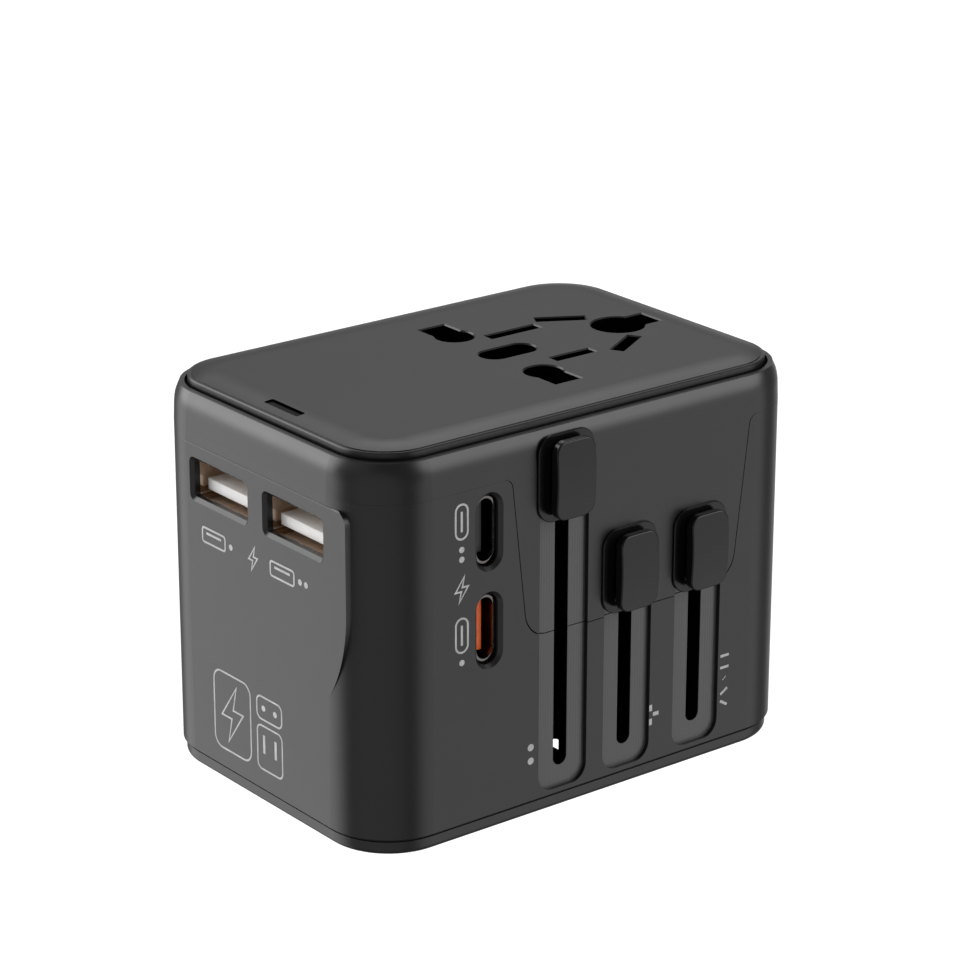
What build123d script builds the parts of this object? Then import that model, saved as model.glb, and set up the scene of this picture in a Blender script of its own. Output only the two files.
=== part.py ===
from build123d import *
import os

# Universal travel adapter, in millimetres.
# +Z up through the socket face, +X along the long side, -Y towards the three sliders and -X towards
# the pair of rectangular charging ports. Drawn about the middle of the case; save() then sets the
# origin under the middle of the overall box, which counts the buttons that stand out in front.

os.makedirs("parts", exist_ok=True)

# ---------------------------------------------------------------- housing
body_w = 72.0
body_d = 49.8
corner_r = 9.4
wall = 2.2
seam = 0.12
tight_seam = 0.02
base_t = 1.85
base_inset = 0.45
shell_z = 2.0
band_z = 47.5
side_band_z = 46.15
crown_inset = 0.85
crown_lean = 0.1
crown_bend_z = 50.0
crown_top_z = 52.58
ledge_z = 52.7
groove_inset = 1.5
shoulder_inset = 3.6
shoulder_z = 50.3
plate_inset = 1.9
plate_z = 51.5
land_w = 0.55
land_z = 53.58
pillow_z = 53.68
pillow_w = 3.3
top_z = 54.1

panel_y = -19.5
panel_chamfer = 0.22
panel_bend_z = 33.0
panel_low_z = 19.6
panel_low_y = -15.0

tongue_x = 5.85
tongue_z = 25.1
tongue_top_half = 19.95
tongue_low_half = 17.3
tongue_r = 4.0
tongue_flare_r = 1.3

# ---------------------------------------------------------------- slider tracks, knobs and buttons
eu_x = -5.6
uk_x = 5.2
us_x = 17.25
eu_knob_z = 46.2
low_knob_z = 31.1
track_w = 8.0
track_depth = 0.58
track_r = 2.4
track_low_z = 3.0
track_over = 5.4
slot_w = 2.25
slot_low_z = 5.9
slot_over = 3.4
flange_w = 9.0
flange_h = 11.7
flange_r = 2.4
flange_back = 0.06
flange_front = 0.36
shoe_w = 7.5
shoe_h = 10.4
shoe_r = 2.1
shoe_back = -0.5
well_w = 5.5
well_h = 9.7
well_back = -0.3
cap_w = 6.3
cap_h = 10.5
cap_r = 1.6
cap_back = 1.25
cap_front = 2.5
cap_bulge = 0.35
cap_edge_r = 0.2
neck_w = 4.9
neck_h = 9.1
neck_back = 0.45
stem_w = 1.75
stem_near = 1.25
stem_far = 2.7
stem_end_y = -19.0
pin_w = 1.4
pin_h = 1.5
pin_end_y = -20.6
pocket_end_y = -18.6
arm_w = 5.6
arm_front_y = -22.3
spring_r = 0.62
spring_wire_r = 0.11
spring_turns = 4.5

# ---------------------------------------------------------------- plug pins and their carriers
eu_pin_r = 2.0
eu_sleeve_r = 1.8
eu_core_r = 1.45
eu_pin_y = 9.5
eu_tip_z = 0.4
eu_bare_z = 9.4
nose_z = 19.4
nose_top_z = 43.4
nose_w = 12.8
nose_d = 34.4
uk_line_y = 11.05
uk_line_w = 4.0
uk_line_d = 6.35
uk_tip_z = 4.5
uk_bare_z = 13.2
uk_core_in = 0.4
uk_earth_x = 27.4
uk_earth_w = 8.0
uk_earth_d = 4.0
uk_earth_tip_z = 0.2
carrier_z = 24.4
uk_carrier_top_z = 30.0
us_carrier_top_z = 33.3
arm_top_z = 35.0
root_z = 28.4
us_blade_y = 6.35
us_blade_w = 6.35
us_blade_t = 1.5
us_tip_z = 4.7
us_pivot_shift = 1.0
us_turn = 30.0
hub_r = 2.3
hub_head_r = 2.8
hub_gap = 0.05
hub_shelf_z = 30.0

# ---------------------------------------------------------------- socket face
socket_x = 3.35
eu_hole_y = 9.5
eu_hole_r = 2.65
uk_hole_w = 4.27
uk_hole_end = 14.6
earth_hole_x = 23.95
earth_hole_r = 3.65
earth_slot_end = 29.95
earth_slot_d = 4.15
stadium_x = 4.9
stadium_l = 8.6
stadium_d = 4.2
us_slot_x = 10.87
us_slot_y = 6.35
us_slot_t = 1.7
us_wide_l = 8.4
us_narrow_l = 6.6
au_slot_x = 19.55
au_slot_y = 6.86
au_slot_l = 6.8
au_slot_t = 1.75
led_x = -31.6
led_y = -0.7
led_l = 7.2
led_w = 1.35

# ---------------------------------------------------------------- charging ports
port_z = 41.25
low_port_z = 28.0
usb_a_y = 8.25
port_bevel = 0.48
usb_a_w = 13.3
usb_a_h = 6.1
usb_a_set_back = 1.3
usb_a_tongue_back = 2.15
usb_a_tongue_w = 11.2
usb_a_tongue_low = -1.8
usb_a_tongue_t = 1.5
usb_a_shell_w = 12.9
usb_a_shell_h = 5.7
usb_a_shell_l = 14.0
usb_a_metal = 0.3
usb_c_x = -17.7
usb_c_w = 4.4
usb_c_h = 10.5
usb_c_set_back = 1.0
usb_c_tongue_back = 2.35
usb_c_tongue_t = 0.95
usb_c_shell_w = 3.2
usb_c_shell_h = 8.95
usb_c_shell_l = 8.5
usb_c_metal = 0.3

# ---------------------------------------------------------------- inside
partition_x = -14.4
partition_t = 1.6
board_t = 1.6
deck_z = 33.9
deck_t = 1.0
contact_z = 50.6
contact_low_z = 44.6
contact_t = 0.6
boss_x = 30.3
boss_y = 19.2
boss_r = 2.5
screw_r = 1.0
screw_head_r = 1.9

front_y = -body_d / 2
side_x = -body_w / 2
us_pivot_x = us_x + us_pivot_shift
bosses = [(x, y) for x in (boss_x, -boss_x) for y in (boss_y, -boss_y)]
tracks = ((eu_x, eu_knob_z), (uk_x, low_knob_z), (us_x, low_knob_z))
shell_path = RectangleRounded(body_w, body_d, corner_r).wires()[0]
plate_path = RectangleRounded(
    body_w - 2 * plate_inset, body_d - 2 * plate_inset, corner_r - plate_inset
).wires()[0]


def save(builder, name):
    """Write one finished piece, placed so that the origin is under the middle of the overall box."""
    placed = builder.part.moved(Location((0, cap_front / 2, 0)))
    placed.label = name
    export_step(placed, "parts/" + name + ".step")


def block(x0, x1, y0, y1, z0, z1, mode=Mode.ADD):
    """A box given by its limits."""
    with Locations(((x0 + x1) / 2, (y0 + y1) / 2, (z0 + z1) / 2)):
        Box(x1 - x0, y1 - y0, z1 - z0, mode=mode)


def post(x, y, z0, z1, radius, mode=Mode.ADD):
    """An upright cylinder given by its centre and its two heights."""
    with Locations((x, y, (z0 + z1) / 2)):
        Cylinder(radius, z1 - z0, mode=mode)


def slab(inset, z0, z1, mode=Mode.ADD):
    """The body outline, moved in by inset, as a straight slab."""
    with BuildSketch(Plane.XY.offset(z0)) as profile:
        RectangleRounded(body_w - 2 * inset, body_d - 2 * inset, corner_r - inset)
    extrude(profile.sketch, amount=z1 - z0, mode=mode)


def edge_plane(path):
    """A plane across the start of the path, local X pointing outwards and local Y pointing up."""
    along = path % 0
    return Plane(origin=path @ 0, x_dir=along.cross(Vector(0, 0, 1)), z_dir=along * -1)


def face_slab(x, z, width, height, radius, back, front, mode=Mode.ADD):
    """A rounded rectangle on the slider face, between two distances out from it."""
    with BuildSketch(Plane.XZ.offset(back - front_y)) as profile:
        with Locations((x, z)):
            RectangleRounded(width, height, radius)
    extrude(profile.sketch, amount=front - back, mode=mode)


def tongue_prism(grow, lift, mode):
    """The tongue of the upper shell through the slider wall, grown by grow, its roots flared into the band."""
    root = band_z - lift
    half_top = tongue_top_half + grow
    half_low = tongue_low_half + grow
    with BuildSketch(Plane.XZ.offset(1.0 - front_y)) as profile:
        with Locations((tongue_x, 0)):
            Polygon(
                (-half_top - 4, root + 1),
                (-half_top - 4, root),
                (-half_top, root),
                (-half_low, tongue_z - grow),
                (half_low, tongue_z - grow),
                (half_top, root),
                (half_top + 4, root),
                (half_top + 4, root + 1),
                align=None,
            )
        fillet(profile.vertices().group_by(Axis.Y)[0], tongue_r)
        fillet(profile.vertices().group_by(Axis.Y)[-2].sort_by(Axis.X)[1:3], tongue_flare_r)
    extrude(profile.sketch, amount=-(wall + 1.3), mode=mode)


def pin_openings(grow, mode, z0, z1):
    """Openings for every pin that slides out through the base."""
    with BuildSketch(Plane.XY.offset(z0)) as profile:
        with Locations((eu_x, 0)):
            SlotOverall(nose_d + 2 * grow, nose_w + 2 * grow, rotation=90)
        with Locations((uk_x, uk_line_y), (uk_x, -uk_line_y)):
            RectangleRounded(uk_line_w + 2 * grow, uk_line_d + 2 * grow, 0.5)
        with Locations((uk_earth_x, 0)):
            RectangleRounded(uk_earth_w + 2 * grow, uk_earth_d + 2 * grow, 0.5)
        for side in (1, -1):
            for step in range(7):
                turn = -side * us_turn * step / 6
                middle = Vector(-us_pivot_shift, 0).rotate(Axis.Z, turn)
                spot = Location((us_pivot_x + middle.X, side * us_blade_y + middle.Y), turn)
                with Locations(spot):
                    Rectangle(us_blade_w + 2 * grow, us_blade_t + 2 * grow)
    extrude(profile.sketch, amount=z1 - z0, mode=mode)


# ================================================================ housing
with BuildPart() as base_plate:
    slab(base_inset, 0, base_t)
    fillet(base_plate.faces().sort_by(Axis.Z)[0].edges(), 0.8)
    slab(wall + 0.15, base_t, base_t + 2.0)
    slab(wall + 1.4, base_t, base_t + 2.0, mode=Mode.SUBTRACT)
    block(eu_x - 5, us_x + 5, front_y, front_y + 8, base_t, base_t + 2.0, mode=Mode.SUBTRACT)
    for x, y in bosses:
        post(x, y, base_t, base_t + 2.0, boss_r + 0.3, mode=Mode.SUBTRACT)
        post(x, y, -0.1, base_t, screw_r + 0.15, mode=Mode.SUBTRACT)
        post(x, y, -0.1, 1.0, screw_head_r + 0.15, mode=Mode.SUBTRACT)
    pin_openings(0.3, Mode.SUBTRACT, -0.1, base_t + 0.1)
save(base_plate, "base_plate")

with BuildPart() as shell_blank:
    slab(0, shell_z, ledge_z)
    chamfer(shell_blank.faces().sort_by(Axis.Z)[0].edges(), 0.4)
    with BuildSketch(edge_plane(shell_path)):
        with BuildLine():
            Line((0, band_z), (-crown_lean, crown_bend_z))
            TangentArc((-crown_lean, crown_bend_z), (-crown_inset, crown_top_z), tangent=(-crown_lean, 2.5))
            Polyline((-crown_inset, crown_top_z), (-crown_inset, top_z), (1.0, top_z), (1.0, band_z), (0, band_z))
        make_face()
    sweep(path=shell_path, mode=Mode.SUBTRACT)
    with BuildSketch(Plane.YZ.offset(side_x)):
        with BuildLine():
            bend = TangentArc((panel_y, panel_bend_z), (panel_low_y, panel_low_z), tangent=(0, -1))
            Polyline(bend @ 1, (panel_low_y, side_band_z), (panel_y + 1.8, side_band_z))
            JernArc((panel_y + 1.8, side_band_z), (-1, 0), 1.8, 90)
            Line((panel_y, side_band_z - 1.8), (panel_y, panel_bend_z))
        make_face()
    extrude(amount=1.2)
    slab(wall, shell_z - 1, shoulder_z, mode=Mode.SUBTRACT)
    slab(shoulder_inset, shoulder_z, plate_z, mode=Mode.SUBTRACT)
    slab(groove_inset, plate_z, ledge_z + 1, mode=Mode.SUBTRACT)
    for x, knob_z in tracks:
        high = knob_z + track_over
        face_slab(x, (high + track_low_z) / 2, track_w, high - track_low_z, track_r, -track_depth, 1, Mode.SUBTRACT)
        high = knob_z + slot_over
        with BuildSketch(Plane.XZ.offset(-front_y)):
            with Locations((x, (high + slot_low_z) / 2)):
                SlotOverall(high - slot_low_z, slot_w, rotation=90)
        extrude(amount=-(wall + 1), mode=Mode.SUBTRACT)
    with BuildSketch(Plane.YZ.offset(side_x)):
        with Locations((usb_a_y, port_z), (-usb_a_y, port_z)):
            RectangleRounded(usb_a_w, usb_a_h, 1.0)
    extrude(amount=port_bevel, taper=45, mode=Mode.SUBTRACT)
    with BuildSketch(Plane.YZ.offset(side_x)):
        with Locations((usb_a_y, port_z), (-usb_a_y, port_z)):
            RectangleRounded(usb_a_w - 2 * port_bevel, usb_a_h - 2 * port_bevel, 0.52)
    extrude(amount=wall + 1, mode=Mode.SUBTRACT)
    with BuildSketch(Plane.YZ.offset(side_x + usb_a_set_back - 0.02)):
        with Locations((usb_a_y, port_z), (-usb_a_y, port_z)):
            RectangleRounded(usb_a_shell_w + 0.2, usb_a_shell_h + 0.2, 0.7)
    extrude(amount=wall, mode=Mode.SUBTRACT)
    with BuildSketch(Plane.XZ.offset(-front_y)):
        with Locations((usb_c_x, port_z), (usb_c_x, low_port_z)):
            SlotOverall(usb_c_h, usb_c_w, rotation=90)
    extrude(amount=-port_bevel, taper=45, mode=Mode.SUBTRACT)
    with BuildSketch(Plane.XZ.offset(-front_y)):
        with Locations((usb_c_x, port_z), (usb_c_x, low_port_z)):
            SlotOverall(usb_c_h - 2 * port_bevel, usb_c_w - 2 * port_bevel, rotation=90)
    extrude(amount=-(wall + 1), mode=Mode.SUBTRACT)

with BuildPart() as lower_shell:
    add(shell_blank.part)
    block(-40, 40, -30, 30, band_z - tight_seam, 60, mode=Mode.SUBTRACT)
    block(-40, side_x + wall + 0.1, panel_y - 0.02, -panel_y + 0.02, side_band_z - tight_seam, 60, mode=Mode.SUBTRACT)
    with BuildSketch(Plane.XZ):
        with Locations((side_x, side_band_z - tight_seam)):
            Rectangle(panel_chamfer, panel_chamfer, rotation=45)
    extrude(amount=-panel_y, both=True, mode=Mode.SUBTRACT)
    tongue_prism(seam, tight_seam, Mode.SUBTRACT)
    for x, y in bosses:
        post(x, y, base_t, 18.0, boss_r)
        post(x, y, base_t - 1, 14.0, screw_r, mode=Mode.SUBTRACT)
save(lower_shell, "lower_shell")

with BuildPart() as upper_shell:
    block(-40, 40, -30, 30, band_z, 60)
    block(-40, side_x + wall + 0.1, panel_y, -panel_y, side_band_z, 60)
    tongue_prism(0, 0, Mode.ADD)
    add(shell_blank.part, mode=Mode.INTERSECT)
save(upper_shell, "upper_shell")

with BuildPart() as socket_plate:
    slab(plate_inset, plate_z, top_z)
    with BuildSketch(edge_plane(plate_path)):
        with BuildLine():
            pillow = TangentArc((-land_w - pillow_w, top_z), (-land_w, pillow_z), tangent=(1, 0))
            Polyline(
                pillow @ 1,
                (-land_w, land_z),
                (-0.12, land_z),
                (0, land_z - 0.12),
                (0.5, land_z - 0.12),
                (0.5, top_z + 0.5),
                (-land_w - pillow_w, top_z + 0.5),
                pillow @ 0,
            )
        make_face()
    sweep(path=plate_path, mode=Mode.SUBTRACT)
    slab(shoulder_inset + 0.15, plate_z - 1.6, plate_z)
    slab(shoulder_inset + 1.3, plate_z - 1.7, plate_z, mode=Mode.SUBTRACT)
    with BuildSketch(Plane.XY.offset(plate_z - 0.1)):
        for side in (1, -1):
            with Locations((socket_x, side * eu_hole_y)):
                Circle(eu_hole_r)
            with Locations((socket_x, side * (eu_hole_y + uk_hole_end) / 2)):
                Rectangle(uk_hole_w, uk_hole_end - eu_hole_y)
            with Locations((us_slot_x, side * us_slot_y)):
                Rectangle(us_wide_l if side > 0 else us_narrow_l, us_slot_t)
            with Locations(Location((au_slot_x, side * au_slot_y), -side * us_turn)):
                Rectangle(au_slot_l, au_slot_t)
        with Locations((stadium_x, 0)):
            SlotOverall(stadium_l, stadium_d)
        with Locations((earth_hole_x, 0)):
            Circle(earth_hole_r)
        with Locations(((earth_hole_x + earth_slot_end) / 2, 0)):
            Rectangle(earth_slot_end - earth_hole_x, earth_slot_d)
    extrude(amount=top_z - plate_z + 1, mode=Mode.SUBTRACT)
    flat_top = socket_plate.faces().filter_by(Axis.Z).sort_by(Axis.Z)[-1]
    chamfer([edge for wire in flat_top.inner_wires() for edge in wire.edges()], 0.18)
    with BuildSketch(Plane.XY.offset(plate_z - 2)):
        with Locations((led_x, led_y)):
            RectangleRounded(led_w + 0.06, led_l + 0.06, 0.25)
    extrude(amount=5, mode=Mode.SUBTRACT)
save(socket_plate, "socket_plate")

with BuildPart() as indicator_window:
    with BuildSketch(Plane.XY.offset(plate_z - 1.5)):
        with Locations((led_x, led_y)):
            RectangleRounded(led_w, led_l, 0.22)
    extrude(amount=3.85)
    chamfer(indicator_window.faces().sort_by(Axis.Z)[-1].edges(), 0.2)
save(indicator_window, "indicator_window")

with BuildPart() as housing_screws:
    for x, y in bosses:
        post(x, y, 0.15, 1.0, screw_head_r)
        post(x, y, 1.0, 12.0, screw_r)
        block(x - 1.3, x + 1.3, y - 0.25, y + 0.25, 0.1, 0.6, mode=Mode.SUBTRACT)
        block(x - 0.25, x + 0.25, y - 1.3, y + 1.3, 0.1, 0.6, mode=Mode.SUBTRACT)
save(housing_screws, "housing_screws")

with BuildPart() as guide_frame:
    block(partition_x, partition_x + partition_t, -20.8, 20.8, 2.4, 46.0)
    block(partition_x, 33.2, 18.2, 20.8, deck_z, deck_z + deck_t)
    block(1.6, 33.2, -16.2, 20.8, deck_z, deck_z + deck_t)
    block(1.6, 33.2, 19.4, 20.8, deck_z - 6, deck_z)
    block(32.0, 33.2, -16.2, 20.8, deck_z - 6, deck_z)
    block(19.8, 30.7, -4.2, 4.2, deck_z - 1, deck_z + deck_t + 1, mode=Mode.SUBTRACT)
    slab(wall + 0.15, 0, top_z, mode=Mode.INTERSECT)
save(guide_frame, "guide_frame")


# ================================================================ socket contacts and fuse
def line_contact(side):
    """Sprung brass strip under one line hole, one flat slot and one slanted slot."""
    grow = 0.3
    with BuildSketch(Plane.XY.offset(contact_z)) as profile:
        with Locations((12.0, side * 10.3)):
            Rectangle(25.0, 12.0)
        with Locations((socket_x, side * eu_hole_y)):
            Circle(eu_hole_r + grow, mode=Mode.SUBTRACT)
        with Locations((socket_x, side * (eu_hole_y + uk_hole_end) / 2)):
            Rectangle(uk_hole_w + 2 * grow, uk_hole_end - eu_hole_y + 2 * grow, mode=Mode.SUBTRACT)
        with Locations((us_slot_x, side * us_slot_y)):
            Rectangle(us_wide_l + 2 * grow, us_slot_t + 2 * grow, mode=Mode.SUBTRACT)
        with Locations(Location((au_slot_x, side * au_slot_y), -side * us_turn)):
            Rectangle(au_slot_l + 2 * grow, au_slot_t + 2 * grow, mode=Mode.SUBTRACT)
    extrude(profile.sketch, amount=contact_t)
    mid_z = (contact_low_z + contact_z + contact_t) / 2
    leaf_h = contact_z + contact_t - contact_low_z
    for x in (socket_x - 3.2, socket_x + 3.2):
        with Locations((x, side * 11.6, mid_z)):
            Box(0.5, 4.4, leaf_h)
    for y in (us_slot_y - 1.4, us_slot_y + 1.4):
        with Locations((us_slot_x + 0.6, side * y, mid_z)):
            Box(5.0, 0.5, leaf_h)
    for step in (-1.45, 1.45):
        spot = Vector(0, step).rotate(Axis.Z, -side * us_turn)
        middle = (au_slot_x + spot.X, side * au_slot_y + spot.Y, mid_z)
        with Locations(Location(middle, (0, 0, -side * us_turn))):
            Box(4.6, 0.5, leaf_h)


with BuildPart() as live_contact:
    line_contact(-1)
save(live_contact, "live_contact")

with BuildPart() as neutral_contact:
    line_contact(1)
save(neutral_contact, "neutral_contact")

with BuildPart() as earth_contact:
    with BuildSketch(Plane.XY.offset(contact_z)):
        with Locations((28.6, 0)):
            Rectangle(4.8, 7.4)
        with Locations((earth_hole_x, 0)):
            Circle(earth_hole_r + 0.3, mode=Mode.SUBTRACT)
        with Locations(((earth_hole_x + earth_slot_end) / 2, 0)):
            Rectangle(earth_slot_end - earth_hole_x + 0.6, earth_slot_d + 0.6, mode=Mode.SUBTRACT)
    extrude(amount=contact_t)
    for y in (-2.75, 2.75):
        with Locations((28.9, y, (contact_low_z + contact_z + contact_t) / 2)):
            Box(2.6, 0.5, contact_z + contact_t - contact_low_z)
save(earth_contact, "earth_contact")

with BuildPart() as fuse_body:
    post(14.6, 0, deck_z + deck_t + 0.5, 48.5, 2.2)
    post(14.6, 0, deck_z + deck_t + 0.5, deck_z + deck_t + 3.0, 5, mode=Mode.SUBTRACT)
    post(14.6, 0, 46.0, 49.0, 5, mode=Mode.SUBTRACT)
    post(14.6, 0, deck_z + deck_t + 1.0, 48.0, 2.0)
save(fuse_body, "fuse_body")

with BuildPart() as fuse_caps:
    post(14.6, 0, deck_z + deck_t, deck_z + deck_t + 3.0, 2.5)
    post(14.6, 0, 46.0, 49.0, 2.5)
    post(14.6, 0, deck_z + deck_t + 1.0, 48.0, 2.0, mode=Mode.SUBTRACT)
save(fuse_caps, "fuse_caps")

# ================================================================ charger
with BuildPart() as charger_board:
    block(partition_x - 0.1 - board_t, partition_x - 0.1, -20.6, 20.6, 4.4, 47.0)
save(charger_board, "charger_board")

board_x = partition_x - 0.1 - board_t
shelf_z = port_z - usb_a_shell_h / 2 - board_t
with BuildPart() as port_board:
    block(-33.2, board_x, -15.1, 15.1, shelf_z, shelf_z + board_t)
save(port_board, "port_board")


def type_a_shell(y):
    """Folded metal shell of one rectangular port."""
    with BuildSketch(Plane.YZ.offset(side_x + usb_a_set_back)) as profile:
        with Locations((y, port_z)):
            RectangleRounded(usb_a_shell_w, usb_a_shell_h, 0.6)
            hollow_w = usb_a_shell_w - 2 * usb_a_metal
            RectangleRounded(hollow_w, usb_a_shell_h - 2 * usb_a_metal, 0.35, mode=Mode.SUBTRACT)
    extrude(profile.sketch, amount=usb_a_shell_l)


def type_a_tongue(y):
    """Insulator of one rectangular port: the tongue and the plug that closes the back."""
    back = side_x + usb_a_set_back + usb_a_shell_l
    front = side_x + usb_a_tongue_back
    inner_w = usb_a_shell_w / 2 - usb_a_metal
    inner_h = usb_a_shell_h / 2 - usb_a_metal
    block(back - 2.5, back, y - inner_w + 0.1, y + inner_w - 0.1, port_z - inner_h + 0.1, port_z + inner_h - 0.1)
    with BuildSketch(Plane.XY.offset(port_z + usb_a_tongue_low)) as profile:
        with Locations(((front + back) / 2, y)):
            RectangleRounded(back - front, usb_a_tongue_w, 0.12)
    extrude(profile.sketch, amount=usb_a_tongue_t)


def type_c_shell(z):
    """Drawn metal shell of one oval port, on its edge."""
    with BuildSketch(Plane.XZ.offset(-front_y - usb_c_set_back)) as profile:
        with Locations((usb_c_x, z)):
            SlotOverall(usb_c_shell_h, usb_c_shell_w, rotation=90)
            hollow_h = usb_c_shell_h - 2 * usb_c_metal
            SlotOverall(hollow_h, usb_c_shell_w - 2 * usb_c_metal, rotation=90, mode=Mode.SUBTRACT)
    extrude(profile.sketch, amount=-usb_c_shell_l)


def type_c_tongue(z):
    """Insulator of one oval port: the thin middle tongue and the plug behind it."""
    back = front_y + usb_c_set_back + usb_c_shell_l
    with BuildSketch(Plane.XZ.offset(-back)) as profile:
        with Locations((usb_c_x, z)):
            SlotOverall(usb_c_shell_h - 2 * usb_c_metal, usb_c_shell_w - 2 * usb_c_metal, rotation=90)
    extrude(profile.sketch, amount=1.3)
    half_t = usb_c_tongue_t / 2
    block(usb_c_x - half_t, usb_c_x + half_t, front_y + usb_c_tongue_back, back - 1, z - 3.4, z + 3.4)


with BuildPart() as type_a_shell_front:
    type_a_shell(-usb_a_y)
save(type_a_shell_front, "type_a_shell_front")

with BuildPart() as type_a_shell_rear:
    type_a_shell(usb_a_y)
save(type_a_shell_rear, "type_a_shell_rear")

with BuildPart() as type_a_tongue_front:
    type_a_tongue(-usb_a_y)
save(type_a_tongue_front, "type_a_tongue_front")

with BuildPart() as type_a_tongue_rear:
    type_a_tongue(usb_a_y)
save(type_a_tongue_rear, "type_a_tongue_rear")

with BuildPart() as type_c_shell_upper:
    type_c_shell(port_z)
save(type_c_shell_upper, "type_c_shell_upper")

with BuildPart() as type_c_shell_lower:
    type_c_shell(low_port_z)
save(type_c_shell_lower, "type_c_shell_lower")

with BuildPart() as type_c_tongue_upper:
    type_c_tongue(port_z)
save(type_c_tongue_upper, "type_c_tongue_upper")

with BuildPart() as type_c_tongue_lower:
    type_c_tongue(low_port_z)
save(type_c_tongue_lower, "type_c_tongue_lower")

with BuildPart() as transformer_core:
    block(-30.0, board_x - 0.6, -9.0, 9.0, 5.0, 23.0)
    block(-31.0, board_x, -6.2, -3.0, 7.5, 20.5, mode=Mode.SUBTRACT)
    block(-31.0, board_x, 3.0, 6.2, 7.5, 20.5, mode=Mode.SUBTRACT)
save(transformer_core, "transformer_core")

with BuildPart() as transformer_winding:
    block(-31.6, board_x, -6.0, 6.0, 7.7, 20.3)
    fillet(transformer_winding.edges().filter_by(Axis.X), 1.0)
    block(-40.0, -10.0, -3.0, 3.0, 5.0, 23.0, mode=Mode.SUBTRACT)
    block(-31.6, -30.1, -5.0, 5.0, 8.6, 19.4)
save(transformer_winding, "transformer_winding")

with BuildPart() as input_capacitor:
    with Locations((board_x - 5.2, 1.0, 29.6)):
        Cylinder(5.0, 18.0, rotation=(90, 0, 0))
    fillet(input_capacitor.edges().filter_by(GeomType.CIRCLE), 0.5)
save(input_capacitor, "input_capacitor")

with BuildPart() as output_capacitors:
    for y in (-14.2, 14.2):
        post(board_x - 3.8, y, 5.0, 19.0, 3.6)
    fillet(output_capacitors.edges().filter_by(GeomType.CIRCLE), 0.4)
save(output_capacitors, "output_capacitors")

with BuildPart() as choke:
    with Locations((board_x - 1.7, 15.6, 28.4)):
        Torus(3.0, 1.6, rotation=(0, 90, 0))
save(choke, "choke")

with BuildPart() as bridge_rectifier:
    block(board_x - 2.4, board_x, -14.6, -9.2, 26.5, 33.0)
    chamfer(bridge_rectifier.edges().filter_by(Axis.X).sort_by(Axis.Z)[-2:], 0.8)
save(bridge_rectifier, "bridge_rectifier")


# ================================================================ knobs and push buttons
def knob(x, z):
    """Knob base: flange on the face, shoe in the track and two stems through the slot."""
    face_slab(x, z, flange_w, flange_h, flange_r, flange_back, flange_front - 0.1)
    with BuildSketch(Plane.XZ.offset(flange_front - 0.1 - front_y)) as profile:
        with Locations((x, z)):
            RectangleRounded(flange_w, flange_h, flange_r)
    extrude(profile.sketch, amount=0.1, taper=45)
    face_slab(x, z, shoe_w, shoe_h, shoe_r, shoe_back, flange_back)
    face_slab(x, z, well_w, well_h, 1.4, well_back, flange_front + 0.1, Mode.SUBTRACT)
    for side in (1, -1):
        low, high = sorted((z + side * stem_near, z + side * stem_far))
        block(x - stem_w / 2, x + stem_w / 2, front_y - shoe_back - 0.1, stem_end_y, low, high)
    block(x - pin_w / 2 - 0.25, x + pin_w / 2 + 0.25, front_y - 1, front_y + 2, z - 1.05, z + 1.05, Mode.SUBTRACT)


def button(x, z):
    """Push button: domed cap, narrower neck under it and the release pin through the slot."""
    face_slab(x, z, cap_w, cap_h, cap_r, cap_back, cap_front)
    dome_r = ((cap_h / 2) ** 2 + cap_bulge**2) / (2 * cap_bulge)
    with Locations((x, front_y - cap_front + dome_r, z)):
        Cylinder(dome_r, 20, rotation=(0, 90, 0), mode=Mode.INTERSECT)
    fillet(faces().sort_by(Axis.Y)[0].outer_wire().edges(), cap_edge_r)
    face_slab(x, z, neck_w, neck_h, 1.1, neck_back, cap_back)
    block(x - pin_w / 2, x + pin_w / 2, front_y - cap_back, pin_end_y, z - pin_h / 2, z + pin_h / 2)


def button_spring(x, z):
    """Coil spring between the end of the release pin and the bottom of its pocket."""
    length = pocket_end_y - pin_end_y - 2 * spring_wire_r - 0.04
    start = (x, pin_end_y + spring_wire_r + 0.02, z)
    with BuildLine():
        coil = Helix(length / spring_turns, length, spring_r, center=start, direction=(0, 1, 0))
    with BuildSketch(Plane(origin=coil @ 0, z_dir=coil % 0)) as profile:
        Circle(spring_wire_r)
    sweep(profile.sketch, path=coil, is_frenet=True)


def knob_sockets(x, z):
    """Sockets in a carrier arm for the knob stems, and the pocket for pin and spring."""
    for side in (1, -1):
        low, high = sorted((z + side * stem_near, z + side * stem_far))
        block(x - stem_w / 2, x + stem_w / 2, arm_front_y - 1, stem_end_y, low, high, Mode.SUBTRACT)
    block(x - 0.95, x + 0.95, arm_front_y - 1, pocket_end_y, z - 0.95, z + 0.95, Mode.SUBTRACT)


with BuildPart() as eu_knob:
    knob(eu_x, eu_knob_z)
save(eu_knob, "eu_knob")

with BuildPart() as uk_knob:
    knob(uk_x, low_knob_z)
save(uk_knob, "uk_knob")

with BuildPart() as us_knob:
    knob(us_x, low_knob_z)
save(us_knob, "us_knob")

with BuildPart() as eu_button:
    button(eu_x, eu_knob_z)
save(eu_button, "eu_button")

with BuildPart() as uk_button:
    button(uk_x, low_knob_z)
save(uk_button, "uk_button")

with BuildPart() as us_button:
    button(us_x, low_knob_z)
save(us_button, "us_button")

with BuildPart() as eu_button_spring:
    button_spring(eu_x, eu_knob_z)
save(eu_button_spring, "eu_button_spring")

with BuildPart() as uk_button_spring:
    button_spring(uk_x, low_knob_z)
save(uk_button_spring, "uk_button_spring")

with BuildPart() as us_button_spring:
    button_spring(us_x, low_knob_z)
save(us_button_spring, "us_button_spring")

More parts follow.
